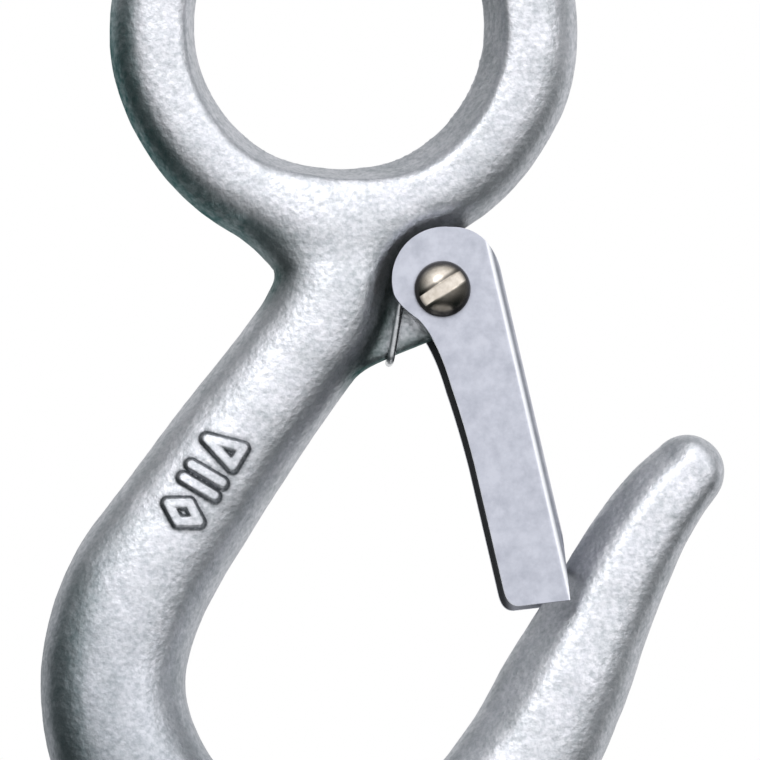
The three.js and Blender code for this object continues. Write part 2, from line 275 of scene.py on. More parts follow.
def weld(obj):
    """Joins vertices that lie in one place."""
    bm = bmesh.new()
    bm.from_mesh(obj.data)
    bmesh.ops.remove_doubles(bm, verts=bm.verts, dist=1e-7)
    bm.to_mesh(obj.data)
    bm.free()


def merge(obj, other):
    """Puts other's mesh into obj as it is, and deletes other."""
    bm = bmesh.new()
    bm.from_mesh(obj.data)
    bm.from_mesh(other.data)
    bm.to_mesh(obj.data)
    bm.free()
    bpy.data.objects.remove(other)


def shade(obj, angle=math.radians(40), flat_faces=False):
    """Smooth shading, with sharp edges above an angle.

    flat_faces keeps large faces flat beside rounded edges."""
    obj.data.shade_smooth()
    obj.data.set_sharp_from_angle(angle=angle)
    if flat_faces:
        modifier = obj.modifiers.new("normals", "WEIGHTED_NORMAL")
        modifier.keep_sharp = True
        modifier.weight = 90
        apply_modifiers(obj)


def rectangle(x0, x1, z0, z1):
    return [(x0, z0), (x1, z0), (x1, z1), (x0, z1)]


def prism(name, outline, y0, y1):
    """An outline of (x, z) points extruded along Y."""
    bm = bmesh.new()
    near = [bm.verts.new((x, y0, z)) for x, z in outline]
    far = [bm.verts.new((x, y1, z)) for x, z in outline]
    bm.faces.new(near)
    bm.faces.new(far)
    count = len(outline)
    for i in range(count):
        j = (i + 1) % count
        bm.faces.new((near[i], near[j], far[j], far[i]))
    return from_bmesh(name, bm)


def turn(name, rows, shape=None, segments=96):
    """Rows of (radius, y) turned about the Y axis.

    shape(angle, radius, y) may change a point's radius."""
    bm = bmesh.new()
    rings = []
    for radius, y in rows:
        if radius == 0:
            rings.append([bm.verts.new((0, y, 0))])
            continue
        ring = []
        for i in range(segments):
            angle = 2 * math.pi * i / segments
            r = shape(angle, radius, y) if shape else radius
            ring.append(bm.verts.new((r * math.cos(angle), y, r * math.sin(angle))))
        rings.append(ring)
    for one, two in zip(rings, rings[1:]):
        for i in range(segments):
            j = (i + 1) % segments
            corners = [one[i % len(one)], one[j % len(one)], two[j % len(two)], two[i % len(two)]]
            bm.faces.new(list(dict.fromkeys(corners)))
    return from_bmesh(name, bm)


def arc(centre, radius, start, end, steps):
    """Points on an arc from start to end, in degrees."""
    angles = np.radians(np.linspace(start, end, steps + 1))
    return [(centre[0] + radius * math.cos(a), centre[1] + radius * math.sin(a)) for a in angles]


def bow(start, control, end, steps):
    """Points on a quadratic curve, without its start."""
    points = []
    for t in np.linspace(0, 1, steps + 1)[1:]:
        weighted = list(zip(((1 - t) ** 2, 2 * t * (1 - t), t * t), (start, control, end)))
        points.append(tuple(sum(weight * p[i] for weight, p in weighted) for i in (0, 1)))
    return points


# ---- the forging: one smooth surface round the bar, the eye and the lug --------------------------


def centreline_samples():
    """Points, directions, half widths and half depths along the centreline, by Catmull-Rom."""
    rows = []
    before = 2 * CENTRELINE[0] - CENTRELINE[1]
    beyond = 2 * CENTRELINE[-1] - CENTRELINE[-2]
    padded = np.vstack((before, CENTRELINE, beyond))
    for a, b, c, d in zip(padded, padded[1:], padded[2:], padded[3:]):
        for t in np.arange(SAMPLES_PER_SPAN) / SAMPLES_PER_SPAN:
            rows.append(0.5 * (2 * b + (c - a) * t + (2 * a - 5 * b + 4 * c - d) * t * t
                               + (3 * b - 3 * c + d - a) * t ** 3))
    rows.append(CENTRELINE[-1])
    rows = np.array(rows)
    slope = np.gradient(rows, axis=0)
    slope /= np.linalg.norm(slope[:, :2], axis=1)[:, None]
    return rows, slope


BAR, BAR_SLOPE = centreline_samples()


def nearest_sample(x, z, batch=20000):
    """The index of the centreline sample nearest to each point, found a batch at a time."""
    flat_x, flat_z = x.ravel(), z.ravel()
    found = np.empty(flat_x.size, int)
    for start in range(0, flat_x.size, batch):
        part = slice(start, start + batch)
        away = (flat_x[part, None] - BAR[:, 0]) ** 2 + (flat_z[part, None] - BAR[:, 1]) ** 2
        found[part] = away.argmin(1)
    return found.reshape(x.shape)


def oval_distance(u, v, a, b, power):
    """Nearly the distance to a superellipse of half sizes a and b."""
    pu, pv = np.abs(u) / a, np.abs(v) / b
    rho = np.maximum((pu ** power + pv ** power) ** (1 / power), 1e-6)
    slope = rho ** (1 - power) * np.hypot(pu ** (power - 1) / a, pv ** (power - 1) / b)
    return (rho - 1) / np.maximum(slope, 0.5 / np.maximum(a, b))


def rise(value, start, end):
    """0 at start, 1 at end, smoothly."""
    share = np.clip((value - start) / (end - start), 0, 1)
    return share * share * (3 - 2 * share)


def smooth_union(a, b, radius):
    share = np.clip(0.5 + 0.5 * (b - a) / radius, 0, 1)
    return b * (1 - share) + a * share - radius * share * (1 - share)


def span_share(sample, spans):
    """0 before the first span of the centreline, 1 after the second."""
    return rise(sample / SAMPLES_PER_SPAN, *spans)


def bar_place(x, z, sample):
    """Where a point lies along and across the centreline from its nearest sample.

    Across is positive in the throat."""
    dx, dz = x - BAR[sample, 0], z - BAR[sample, 1]
    slope_x, slope_z = BAR_SLOPE[sample, 0], BAR_SLOPE[sample, 1]
    return dx * slope_x + dz * slope_z, dz * slope_x - dx * slope_z


def bar_distance(x, y, z, sample):
    """The distance to the bar, which has a flat start inside the eye and a round point."""
    along, across = bar_place(x, z, sample)
    near = np.clip(along, -MM, MM)
    width = BAR[sample, 2] + BAR_SLOPE[sample, 2] * near
    depth = BAR[sample, 3] + BAR_SLOPE[sample, 3] * near
    throat_side = across
    past_point = (sample == len(BAR) - 1) & (along > 0)
    across = np.where(past_point, np.hypot(across, along), across)
    width = np.where(past_point, BAR[-1, 2], width)
    depth = np.where(past_point, BAR[-1, 3], depth)
    boxy = span_share(sample, POINT_SPANS)
    side = oval_distance(across, y, width, depth, BAR_POWER + (POINT_POWER - BAR_POWER) * boxy)
    reach = np.hypot(width * math.cos(FACET_TILT), depth * math.sin(FACET_TILT))
    uncut, cut = FACET_REACH
    reach = reach * (uncut + (cut - uncut) * span_share(sample, FACET_SPANS))
    facet = throat_side * math.cos(FACET_TILT) + np.abs(y) * math.sin(FACET_TILT) - reach
    side = -smooth_union(-side, -facet, FACET_EDGE)
    return np.where(sample == 0, np.maximum(side, -along), side)


def eye_distance(x, y, z):
    """A ring, flatter towards its hole, which is a little off centre and drafted both ways."""
    radius = np.maximum(np.hypot(x, z), MM)
    hole = EYE_HOLE + (HOLE_SHIFT[0] * x + HOLE_SHIFT[1] * z) / radius
    outer = EYE_OUTER - EYE_DRAWN_IN * rise(-z / radius, *EYE_DRAWN_FACING)
    mean, half = (outer + hole) / 2, (outer - hole) / 2
    round_side = oval_distance(radius - mean, y, half, EYE_DEPTH, 2)
    flat_side = oval_distance(radius - mean, y, half, EYE_DEPTH, EYE_FLAT_POWER)
    ring = np.where(radius > mean, round_side, flat_side)
    out = np.abs(y) / LAND_HALF
    flare = EYE_HOLE + LAND_DRAFT * np.abs(y)
    centred = np.hypot(x - HOLE_SHIFT[0] * (1 - out), z - HOLE_SHIFT[1] * (1 - out))
    return -smooth_union(-ring, -(flare - centred), LAND_EDGE)


def lug_outline(x, z):
    """The distance in the hook's plane to the lug's outline, which tapers to a round end."""
    root = Vector(LUG_ROOT)
    run = Vector((PIVOT.x, PIVOT.z)) - root
    length = run.length
    px = ((x - root.x) * run.x + (z - root.y) * run.y) / length
    py = np.abs((z - root.y) * run.x - (x - root.x) * run.y) / length
    taper = (LUG_ROOT_ROUND - LUG_ROUND) / length
    upright = math.sqrt(1 - taper * taper)
    side = py * upright + px * taper - LUG_ROOT_ROUND
    lean = px * upright - py * taper
    return np.where(lean < 0, np.hypot(px, py) - LUG_ROOT_ROUND,
                    np.where(lean > length * upright, np.hypot(px - length, py) - LUG_ROUND, side))


def lug_distance(x, y, z):
    """A plate of that outline with rounded edges."""
    flat = np.abs(y) - LUG_HALF + LUG_EDGE
    outline = lug_outline(x, z) + LUG_EDGE
    outside = np.hypot(np.maximum(outline, 0), np.maximum(flat, 0))
    return np.minimum(np.maximum(outline, flat), 0) + outside - LUG_EDGE


def mark_strokes():
    """The strokes of the three marks, as pairs of points along and across the shank."""
    tall, wide = (MARK_TALL - MARK_STROKE) / 2, (MARK_WIDE - MARK_STROKE) / 2
    lozenge = [(-wide, 0), (0, tall), (wide, 0), (0, -tall), (-wide, 0)]
    bars = [[(side * wide * MARK_BARS, -tall), (side * wide * MARK_BARS, tall)] for side in (-1, 1)]
    triangle = [(-wide, -tall), (wide, -tall), (0, tall), (-wide, -tall)]
    strokes = []
    for place, lines in enumerate(([lozenge], bars, [triangle])):
        shift = (place - 1) * MARK_PITCH
        for line in lines:
            strokes += [((a[0] + shift, a[1]), (b[0] + shift, b[1])) for a, b in zip(line, line[1:])]
    return strokes


def mark_place(x, z):
    """Where a point lies along and across the row of marks."""
    dx, dz = x - MARK_MIDDLE[0], z - MARK_MIDDLE[1]
    return (dx * math.cos(MARK_RUN) + dz * math.sin(MARK_RUN),
            dz * math.cos(MARK_RUN) - dx * math.sin(MARK_RUN))


def mark_nearest(x, z):
    """How far a point is from the nearest stroke's middle."""
    along, across = mark_place(x, z)
    nearest = np.full(along.shape, 1.0)
    for (ax, ay), (bx, by) in mark_strokes():
        dx, dy = bx - ax, by - ay
        t = np.clip(((along - ax) * dx + (across - ay) * dy) / (dx * dx + dy * dy), 0, 1)
        nearest = np.minimum(nearest, np.hypot(along - ax - t * dx, across - ay - t * dy))
    return nearest


def mark_rise(x, y, z):
    """How far the marks lift the front surface."""
    share = rise(mark_nearest(x, z), MARK_STROKE / 2 + MARK_EDGE, MARK_STROKE / 2)
    return np.where(y < 0, MARK_RISE * share, 0)


def mark_crease(points):
    """1 in the crease round each mark, where shade is painted on the zinc, 0 elsewhere."""
    away = mark_nearest(points[:, 0], points[:, 2]) - MARK_STROKE / 2
    share = np.clip(1 - np.abs(away - CREASE) / CREASE_HALF, 0, 1)
    return np.where(points[:, 1] < 0, share, 0)


def shank_distance(x, y, z, sample):
    """The eye and the bar without the lug."""
    return smooth_union(bar_distance(x, y, z, sample), eye_distance(x, y, z), NECK_FILLET)


def lug_shade_share(points):
    """Painted shade: 1 on the lug's edges and in the corner between it and the shank, fading to 0
    round them.
    """
    x, y, z = points.T
    lug = lug_distance(x, y, z)
    gap = shank_distance(x, y, z, nearest_sample(x, z)) - lug
    corner = np.exp(-((gap / SHADE_CORNER) ** 2))
    edge = np.clip(1 + lug_outline(x, z) / SHADE_EDGE, 0, 1) * np.exp(-((lug / LUG_EDGE) ** 2))
    return np.maximum(corner, edge)


def painted_side_shade(points):
    """1 where the painted shade is darkest, fading to 0 round it."""
    x, _, z = points.T
    radius = np.maximum(np.hypot(x, z), MM)
    facing = (EYE_SHADE_WAY[0] * x + EYE_SHADE_WAY[1] * z) / radius
    eye = rise(facing, *EYE_SHADE_FACING)
    eye = eye * rise(radius, *EYE_SHADE_INNER) * rise(radius, *EYE_SHADE_OUTER)
    sample = nearest_sample(x, z)
    out = -bar_place(x, z, sample)[1] / BAR[sample, 2]
    bowl = rise(out, *BOWL_SHADE_INNER) * rise(out, *BOWL_SHADE_OUTER)
    bowl = bowl * rise(z, *BOWL_SHADE_BELOW) * rise(x, *BOWL_SHADE_LEFT)
    return np.maximum(eye, BOWL_SHADE * bowl)


def plain_distance(x, y, z, sample):
    """The distance to the forging without its marks."""
    body = smooth_union(shank_distance(x, y, z, sample), lug_distance(x, y, z), LUG_FILLET)
    return body + FLASH / 2 - FLASH * np.exp(-((y / FLASH_WIDTH) ** 2))


def forging_distance(x, y, z, sample):
    return plain_distance(x, y, z, sample) - mark_rise(x, y, z)


def net_vertices(field, cells):
    """A place in each cell, in steps: the mean of where the field crosses zero on the cell's edges."""
    corners = [(i, j, k) for i in (0, 1) for j in (0, 1) for k in (0, 1)]
    value = {c: field[cells[:, 0] + c[0], cells[:, 1] + c[1], cells[:, 2] + c[2]] for c in corners}
    total = np.zeros((len(cells), 3))
    hits = np.zeros(len(cells))
    for start in corners:
        for axis in range(3):
            if start[axis]:
                continue
            end = tuple(1 if n == axis else start[n] for n in range(3))
            crossed = (value[start] < 0) != (value[end] < 0)
            gap = np.where(crossed, value[start] - value[end], 1)
            place = np.tile(np.array(start, float), (len(cells), 1))
            place[:, axis] += value[start] / gap
            total[crossed] += place[crossed]
            hits += crossed
    return cells + total / hits[:, None]


def net_quads(inside, index):
    """A quad through the four cells round each edge of the grid that leaves or enters the solid."""
    quads = []
    for axis in range(3):
        u, v = (axis + 1) % 3, (axis + 2) % 3
        before = np.take(inside, range(inside.shape[axis] - 1), axis)
        after = np.take(inside, range(1, inside.shape[axis]), axis)
        edges = np.argwhere(before != after)
        back_u, back_v = np.eye(3, dtype=int)[u], np.eye(3, dtype=int)[v]
        around = [edges - back_u - back_v, edges - back_v, edges, edges - back_u]
        quad = np.stack([index[tuple(cell.T)] for cell in around], 1)
        leaving = before[tuple(edges.T)]
        quads.append(np.where(leaving[:, None], quad, quad[:, ::-1]))
    return np.concatenate(quads)


def surface_nets(field, low, step):
    """Vertices and quads of the surface where the field of a regular grid is zero."""
    inside = field < 0
    cell_shape = tuple(n - 1 for n in field.shape)
    count = np.zeros(cell_shape, np.int8)
    for i in (0, 1):
        for j in (0, 1):
            for k in (0, 1):
                count += inside[i:i + cell_shape[0], j:j + cell_shape[1], k:k + cell_shape[2]]
    active = (count > 0) & (count < 8)
    cells = np.argwhere(active)
    index = np.full(cell_shape, -1)
    index[active] = np.arange(len(cells))
    return low + net_vertices(field, cells) * step, net_quads(inside, index)


def settle(points, rounds=3, reach=0.03 * MM, least=0.1):
    """Moves points onto the forging's surface. Returns them with the surface's normals.

    The slope is measured over reach, and its square is taken as no less than least."""
    for _ in range(rounds):
        sample = nearest_sample(points[:, 0], points[:, 2])
        here = forging_distance(*points.T, sample)
        slope = np.empty_like(points)
        for axis in range(3):
            ahead = points.copy()
            ahead[:, axis] += reach
            slope[:, axis] = (forging_distance(*ahead.T, sample) - here) / reach
        steepness = np.maximum((slope ** 2).sum(1), least)
        points = points - slope * (here / steepness)[:, None]
    return points, slope / np.linalg.norm(slope, axis=1)[:, None]


def refine_marks(obj):
    """Splits the faces under the marks more finely."""
    bm = bmesh.new()
    bm.from_mesh(obj.data)
    half_long, half_wide = MARK_PITCH * 1.5 + MM, MARK_TALL / 2 + MM
    chosen = []
    for face in bm.faces:
        centre = face.calc_center_median()
        along, across = mark_place(centre.x, centre.z)
        if centre.y < 0 and abs(along) < half_long and abs(across) < half_wide:
            chosen.append(face)
    edges = list({edge for face in chosen for edge in face.edges})
    bmesh.ops.subdivide_edges(bm, edges=edges, cuts=MARK_CUTS, use_grid_fill=True)
    bm.to_mesh(obj.data)
    bm.free()


def forging_net():
    """The forging without its marks, in faces about as long as a voxel."""
    margin = 4 * VOXEL
    low = np.array(HOOK_LOW) - margin
    high = np.array(HOOK_HIGH) + margin
    axes = [np.arange(a, b, VOXEL) for a, b in zip(low, high)]
    x, y, z = np.meshgrid(*axes, indexing="ij", sparse=True)
    flat_x, flat_z = np.broadcast_arrays(x, z)
    field = plain_distance(x, y, z, nearest_sample(flat_x, flat_z))
    return new_object("hook_forging", *surface_nets(field, low, VOXEL))


def finish_surface(obj):
    """Raises the marks, makes the surface uneven, and stores how much painted shade each point gets.
    """
    points = np.empty(len(obj.data.vertices) * 3, np.float32)
    obj.data.vertices.foreach_get("co", points)
    points = points.reshape(-1, 3).astype(float)
    points[:, 1] -= mark_rise(*points.T)
    points, normals = settle(points)
    lift = np.zeros(len(points))
    for wavelength, height in UNEVEN:
        lift += [height * noise.noise(Vector(p / wavelength)) for p in points]
    points += normals * lift[:, None]
    obj.data.vertices.foreach_set("co", points.astype(np.float32).ravel())
    for name, amount in (("crease", mark_crease), ("painted_lug_shade", lug_shade_share), ("painted_side_shade", painted_side_shade)):
        obj.data.attributes.new(name, "FLOAT", "POINT").data.foreach_set("value", amount(points))


def make_forging():
    obj = forging_net()
    refine_marks(obj)
    finish_surface(obj)
    half = LUG_HALF * 2
    bore = turn("bore", [(0, -half), (LUG_BORE, -half), (LUG_BORE, half), (0, half)])
    bore.data.transform(Matrix.Translation(PIVOT))
    combine(obj, bore, "DIFFERENCE")
    shade(obj, math.radians(50))
    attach(obj, "hook")
    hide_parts("hook_body")
    return obj


# ---- the latch -----------------------------------------------------------------------------------


def flange_outline():
    """The flanges seen from the side: out of the web along x, up the latch along z."""
    points = [(FLANGE_EDGE, -22.0 * MM), (FLANGE_EDGE, -38.2 * MM)]
    points += bow(points[-1], (FLANGE_EDGE, -40.4 * MM), (0.5 * MM, -40.6 * MM), 10)
    points += [(LIP_OUTER, -LATCH_END), (WEB_OUTER, -LIP_START), (WEB_OUTER, 1.0 * MM)]
    ear = arc(EAR_CENTRE, EAR_RADIUS, 72, 184, 40)
    points += bow(points[-1], (7.2 * MM, 6.5 * MM), ear[0], 14)[:-1]
    points += ear
    points += bow(ear[-1], (-5.6 * MM, -1.0 * MM), (-3.7 * MM, -3.0 * MM), 10)
    points += bow(points[-1], (-1.9 * MM, -6.0 * MM), (-1.6 * MM, -12.0 * MM), 10)
    points += bow(points[-1], (-1.1 * MM, -17.0 * MM), points[0], 8)[:-1]
    return points


def channel_outline():
    """The folded channel's section, as (x, y) points."""
    open_end = EAR_CENTRE[0] - EAR_RADIUS - MM
    inner, inside = WEB_OUTER - SHEET, LATCH_HALF - SHEET
    fold_inner = FOLD_OUTER - SHEET
    out_x, out_y = WEB_OUTER - FOLD_OUTER, LATCH_HALF - FOLD_OUTER
    in_x, in_y = inner - fold_inner, inside - fold_inner
    return ([(open_end, -LATCH_HALF)] + arc((out_x, -out_y), FOLD_OUTER, -90, 0, 12)
            + arc((out_x, out_y), FOLD_OUTER, 0, 90, 12) + [(open_end, LATCH_HALF), (open_end, inside)]
            + arc((in_x, in_y), fold_inner, 90, 0, 6) + arc((in_x, -in_y), fold_inner, 0, -90, 6)
            + [(open_end, -inside)])


def make_latch():
    top = EAR_CENTRE[1] + EAR_RADIUS + MM
    bottom = -LATCH_END - MM
    latch = prism("latch_sheet", channel_outline(), bottom, top)
    upright = Matrix(((1, 0, 0, 0), (0, 0, 1, 0), (0, 1, 0, 0), (0, 0, 0, 1)))
    latch.data.transform(upright)
    latch.data.flip_normals()
    combine(latch, prism("sides", flange_outline(), -2 * LATCH_HALF, 2 * LATCH_HALF), "INTERSECT")
    half = LATCH_HALF - FOLD_OUTER
    cut = rectangle(WEB_OUTER - 2 * FOLD_OUTER, WEB_OUTER + MM, -WEB_END, bottom)
    combine(latch, prism("web_cut", cut, -half, half), "DIFFERENCE")
    hole = arc((0, 0), EAR_HOLE, 0, 360, 48)[:-1]
    combine(latch, prism("ear_hole", hole, -2 * LATCH_HALF, 2 * LATCH_HALF), "DIFFERENCE")
    round_edges(latch, SHEARED_EDGE)
    latch.data.transform(Matrix.Translation(PIVOT) @ Matrix.Rotation(-LATCH_TILT, 4, "Y"))
    shade(latch, math.radians(35), flat_faces=True)
    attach(latch, "latch")
    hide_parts("latch")
    return latch


# ---- screw, nut and nylon ring -------------------------------------------------------------------


def screw_head():
    """The slotted pan head, with a crown that is part of a ball."""
    radius = (SCREW_HIGH.x - SCREW_LOW.x) / 2
    crown = SCREW_LOW.y
    tall = HEAD_SEAT - HEAD_RIM - crown
    ball = (radius ** 2 + tall ** 2) / (2 * tall)
    edge = math.asin(radius / ball)
    dome = [(ball * math.sin(t), crown + ball * (1 - math.cos(t)))
            for t in np.linspace(0, edge, 13)[1:]]
    head = turn("pivot_screw_finish", [(0, crown)] + dome + [(radius, HEAD_SEAT), (0, HEAD_SEAT)])
    slot = rectangle(-SLOT_HALF_LENGTH, SLOT_HALF_LENGTH, -SLOT_WIDTH / 2, SLOT_WIDTH / 2)
    cutter = prism("slot", slot, crown - MM, crown + SLOT_DEPTH)
    cutter.data.transform(Matrix.Rotation(-SLOT_TILT, 4, "Y"))
    combine(head, cutter, "DIFFERENCE")
    round_edges(head, HEAD_EDGE)
    shade(head)
    return head


def screw_shank():
    """The shank, plain up to just before the nut and threaded from there to its end."""
    end = SCREW_HIGH.y
    plain = NUT_LOW.y - THREAD_PITCH
    step = THREAD_PITCH / THREAD_ROWS

    def thread(angle, radius, y):
        if y < plain or y >= end:
            return radius
        wave = 0.5 - 0.5 * math.cos(2 * math.pi * (y / THREAD_PITCH) - angle)
        return radius - THREAD_DEPTH * wave

    rows = [(0, HEAD_SEAT), (SCREW_RADIUS, HEAD_SEAT), (SCREW_RADIUS, plain - step)]
    rows += [(SCREW_RADIUS, y) for y in np.arange(plain, end - THREAD_SHORT, step)]
    rows += [(SCREW_RADIUS - SCREW_END_CHAMFER, end), (0, end)]
    shank = turn("shank", rows, thread)
    shade(shank, math.radians(42))
    return shank


def make_screw():
    screw = screw_head()
    merge(screw, screw_shank())
    screw.data.transform(Matrix.Translation(PIVOT))
    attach(screw, "hook")
    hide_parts("pivot_screw")
    return screw


def nut_rows(flat, corner):
    """The nut's section, as rows of (radius, y): bore, hexagon, crimped collar and the ring's seat."""
    seat, top = NUT_LOW.y, NUT_HIGH.y
    hex_top = seat + NUT_HEX
    low, high = INSERT_LOW.y - INSERT_GAP, INSERT_HIGH.y + INSERT_GAP
    lip = (INSERT_HIGH.x - INSERT_LOW.x) / 2
    crimp = (corner - flat) * COLLAR_ROUND
    start = flat * NUT_CONE
    cone = [(start + (corner - start) * t, NUT_CHAMFER * t) for t in np.linspace(0, 1, 9)]
    rows = [(NUT_BORE, seat + NUT_CHAMFER), (NUT_BORE + NUT_CHAMFER, seat)]
    rows += [(radius, seat + up) for radius, up in cone]
    rows += [(radius, hex_top - down) for radius, down in reversed(cone)]
    rows += [(COLLAR_RADIUS + COLLAR_FOOT, hex_top), (COLLAR_RADIUS, hex_top + COLLAR_FOOT)]
    rows += [(COLLAR_RADIUS, top - crimp)]
    rows += [(COLLAR_RADIUS - crimp * (1 - math.cos(t)), top - crimp + crimp * math.sin(t))
             for t in np.linspace(0, math.pi / 2, 7)[1:]]
    rows += [(lip, top - INSERT_GAP), (lip - INSERT_GAP / 2, high), (lip, high)]
    rows += [(lip + INSERT_GAP, low), (NUT_BORE, low)]
    return rows + rows[:1]


def make_nut():
    flat = (NUT_HIGH.x - NUT_LOW.x) / 2
    corner = flat / math.cos(math.pi / 6)

    def hexagon(angle, radius, y):
        if y > NUT_LOW.y + NUT_HEX or radius < flat * NUT_CONE:
            return radius
        lean = (angle + math.pi / 6) % (math.pi / 3) - math.pi / 6
        return min(radius, flat / math.cos(lean))

    nut = turn("lock_nut_finish", nut_rows(flat, corner), hexagon, segments=144)
    weld(nut)
    nut.data.transform(Matrix.Translation(PIVOT))
    shade(nut, math.radians(28), flat_faces=True)
    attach(nut, "hook")
    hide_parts("lock_nut")
    return nut


def make_insert():
    outer = (INSERT_HIGH.x - INSERT_LOW.x) / 2 - INSERT_GAP / 2
    inner = SCREW_RADIUS + INSERT_GAP / 2
    low, high = INSERT_LOW.y, INSERT_HIGH.y
    rows = [(inner, low), (outer, low), (outer, high - INSERT_EDGE), (outer - INSERT_EDGE, high),
            (inner + INSERT_EDGE, high), (inner, high - INSERT_EDGE), (inner, low)]
    ring = turn("nylon_ring", rows, segments=64)
    weld(ring)
    ring.data.transform(Matrix.Translation(PIVOT))
    shade(ring)
    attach(ring, "hook")
    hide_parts("lock_nut_insert")
    return ring


# ---- spring --------------------------------------------------------------------------------------


def rounded_corner(before, corner, after, radius, steps=6):
    """A corner of a wire, bent over the given length each way."""
    start = corner + (before - corner).normalized() * radius
    end = corner + (after - corner).normalized() * radius
    return [start.lerp(corner, t).lerp(corner.lerp(end, t), t) for t in np.linspace(0, 1, steps + 1)]


def spring_path(side):
    """The wire of one half: leg on the latch, coil, leg beside the lug and half of the bridge."""
    def on_coil(angle, y):
        x, z = PIVOT.x + COIL_MEAN * math.cos(angle), PIVOT.z + COIL_MEAN * math.sin(angle)
        return Vector((x, side * y, z))

    leg_start = on_coil(LEG_ANGLE, COIL_TO)
    down = Vector((math.sin(LEG_ANGLE), 0, -math.cos(LEG_ANGLE)))
    points = [leg_start + down * LEG_LENGTH * (1 - t) for t in np.linspace(0, 1, 9)[:-1]]
    sweep = BRIDGE_ANGLE - LEG_ANGLE + 2 * math.pi * COIL_TURNS
    steps = round(COIL_STEPS * sweep / (2 * math.pi))
    points += [on_coil(LEG_ANGLE + sweep * t, COIL_TO + (COIL_FROM - COIL_TO) * t)
               for t in np.linspace(0, 1, steps + 1)]
    inward = Vector((0, side * COIL_FROM, 0))
    bend, corner = BRIDGE_BEND + inward, BRIDGE + inward
    points += rounded_corner(points[-1], bend, corner, BRIDGE_ROUND)
    points += rounded_corner(bend, corner, BRIDGE, BRIDGE_ROUND)
    points.append(BRIDGE.copy())
    return points


def wire_mesh(name, points, radius, sides=16):
    """A round wire along points, with its first end lightly chamfered and its last end square to Y."""
    bm = bmesh.new()
    rings = []
    normal = Vector((0, 1, 0))
    turns = [2 * math.pi * k / sides for k in range(sides)]
    first = (points[0] - points[1]).normalized()
    end = (points[0] + first * radius * WIRE_CHAMFER, radius * (1 - WIRE_CHAMFER))
    rows = [end] + [(p, radius) for p in points]
    places = [place for place, _ in rows]
    for i, (place, r) in enumerate(rows):
        ahead = places[min(i + 1, len(places) - 1)] - places[max(i - 1, 0)]
        if i == len(rows) - 1:
            ahead = Vector((0, ahead.y, 0))
        tangent = ahead.normalized()
        normal = normal - tangent * normal.dot(tangent)
        if normal.length < 1e-6:
            normal = tangent.orthogonal()
        normal.normalize()
        across = tangent.cross(normal)
        rings.append([bm.verts.new(place + r * (normal * math.cos(a) + across * math.sin(a)))
                      for a in turns])
    for one, two in zip(rings, rings[1:]):
        for k in range(sides):
            j = (k + 1) % sides
            bm.faces.new((one[k], one[j], two[j], two[k]))
    bm.faces.new(rings[0])
    bm.faces.new(rings[-1])
    return from_bmesh(name, bm)


def make_spring():
    halves = []
    for name, side in (("spring_front", -1), ("spring_rear", 1)):
        half = wire_mesh(name, spring_path(side), WIRE)
        shade(half)
        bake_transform(half)
        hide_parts("latch_spring")
        halves.append(half)
    return halves


# ---- materials -----------------------------------------------------------------------------------


class Nodes:
    """A node tree, with one line for each node."""

    def __init__(self, tree):
        self.tree = tree

    def add(self, kind, inputs=None, **settings):
        node = self.tree.nodes.new(kind)
        for key, value in settings.items():
            setattr(node, key, value)
        for key, value in (inputs or {}).items():
            self.put(value, node.inputs[key])
        return node

    def put(self, value, socket):
        """Links a socket's value to another socket, or sets it there."""
        if isinstance(value, bpy.types.NodeSocket):
            self.tree.links.new(value, socket)
        else:
            socket.default_value = value

    def calculate(self, operation, one, two=0.5):
        return self.add("ShaderNodeMath", {0: one, 1: two}, operation=operation).outputs[0]

    def times(self, one, two):
        return self.calculate("MULTIPLY", one, two)

    def vector(self, operation, one, two=(0, 0, 0)):
        return self.add("ShaderNodeVectorMath", {0: one, 1: two}, operation=operation).outputs

    def ramp(self, value, stops):
        """A colour ramp. Stops are (place, grey or colour)."""
        node = self.add("ShaderNodeValToRGB", {"Fac": value})
        band = node.color_ramp
        while len(band.elements) < len(stops):
            band.elements.new(0.5)
        for element, (place, colour) in zip(band.elements, stops):
            element.position = place
            rgb = (colour,) * 3 if isinstance(colour, (int, float)) else colour
            element.color = (*rgb, 1)
        return node.outputs["Color"]

    def blend(self, share, one, two, mode="MIX"):
        inputs = {0: share, 6: one, 7: two}
        return self.add("ShaderNodeMix", inputs, data_type="RGBA", blend_type=mode).outputs[2]


